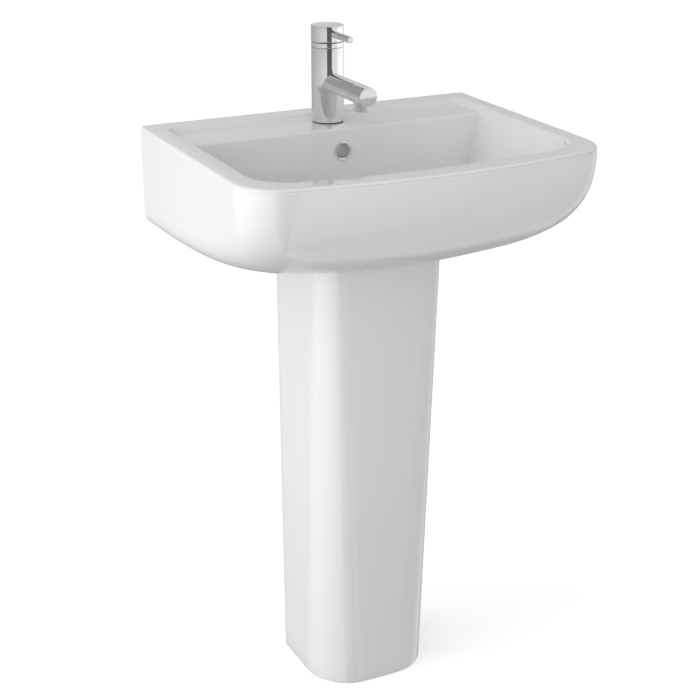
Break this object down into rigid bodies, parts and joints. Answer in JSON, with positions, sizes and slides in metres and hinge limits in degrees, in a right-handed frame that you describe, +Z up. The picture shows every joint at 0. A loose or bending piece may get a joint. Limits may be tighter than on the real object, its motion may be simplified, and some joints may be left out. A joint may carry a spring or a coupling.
{
  "type": "pedestal sink",
  "caption": "Wash basin with bowed front, tap ledge and overflow on a tapering open-backed pedestal, with a pin-lever mixer tap, push-button waste and bottle trap.",
  "frame": {"origin": "on the floor, at the middle of the basin's width and depth (bottom centre of the bounding box)", "axes": "+X to the right seen from the front, +Y towards the wall, +Z up; the bowl's bowed front faces -Y"},
  "size_m": [0.55, 0.44, 1.018],
  "materials": {
    "glaze": "gloss white glaze",
    "chrome": "polished",
    "brass": "machined",
    "copper": "drawn copper tube",
    "steel": "zinc plated",
    "rubber": "matt",
    "white_plastic": "moulded",
    "grey_plastic": "moulded"
  },
  "bodies": {
    "stand": {"basin": "glaze", "pedestal": "glaze", "tap_body": "chrome", "tap_spout": "chrome", "spout_end": "chrome", "aerator_housing": "chrome", "bezel_ring": "chrome", "overflow_ring": "chrome", "waste_body": "chrome", "cartridge_nut": "brass", "fixing_nut": "brass", "waste_back_nut": "brass", "copper_tail_left": "copper", "copper_tail_right": "copper", "fixing_stud": "steel", "horseshoe_plate": "steel", "wall_bolt_left": "steel", "wall_bolt_right": "steel", "wall_washer_left": "steel", "wall_washer_right": "steel", "wall_nut_left": "steel", "wall_nut_right": "steel", "floor_screw_left": "steel", "floor_screw_right": "steel", "tap_base_seal": "rubber", "horseshoe_rubber": "rubber", "waste_washer": "rubber", "trap_cup_seal": "rubber", "trap_inlet_nut": "white_plastic", "trap_body": "white_plastic", "trap_cup": "white_plastic", "trap_outlet_nut": "white_plastic", "outlet_pipe": "white_plastic", "outlet_wall_flange": "white_plastic", "latch_housing": "white_plastic", "waste_top_seal": "white_plastic", "wall_bush_left": "white_plastic", "wall_bush_right": "white_plastic", "floor_washer_left": "white_plastic", "floor_washer_right": "white_plastic", "cartridge_body": "grey_plastic", "aerator_insert": "grey_plastic"},
    "lever_turntable": {"swivel_stem": "brass", "lift_pin": "steel"},
    "lever": {"handle_cap": "chrome", "lever_pin": "chrome"},
    "plug": {"plug_cap": "chrome", "plug_seal": "rubber", "plug_stem": "brass"}
  },
  "joints": [
    {"name": "lever_swivel", "type": "hinge", "parent": "stand", "child": "lever_turntable", "pos_m": [0, 0.155, 0.8735], "axis": [0, 0, 1], "range_deg": [-50, 50]},
    {"name": "lever_lift", "type": "hinge", "parent": "lever_turntable", "child": "lever", "pos_m": [0, 0.168, 1.0045], "axis": [-1, 0, 0], "range_deg": [0, 20]},
    {"name": "plug_press", "type": "slide", "parent": "stand", "child": "plug", "axis": [0, 0, -1], "range_m": [0, 0.008]}
  ]
}
